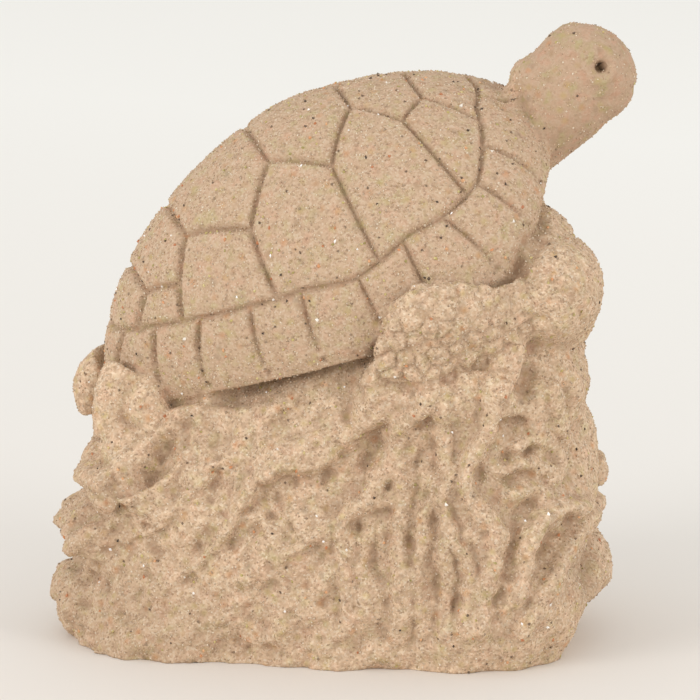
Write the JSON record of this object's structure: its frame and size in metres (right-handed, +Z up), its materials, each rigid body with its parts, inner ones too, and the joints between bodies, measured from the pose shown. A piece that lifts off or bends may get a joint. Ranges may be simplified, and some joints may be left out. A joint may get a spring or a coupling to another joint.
{
  "type": "sand turtle sculpture",
  "caption": "Small desk sculpture cast in bonded sand: a sea turtle climbing a coral rock with its head raised, standing on a flat underside.",
  "frame": {"origin": "centre of the flat underside's bounding box, at the bottom of the casting", "axes": "+Z up; +X towards the turtle's head; -Y is the turtle's right side, the side with the full carving"},
  "size_m": [0.0721, 0.0473, 0.076],
  "materials": {
    "bonded_sand": "matte sand grain, pale tan with dark, orange and clear quartz specks"
  },
  "bodies": {
    "root": {"sand_turtle": "bonded_sand"}
  },
  "joints": []
}
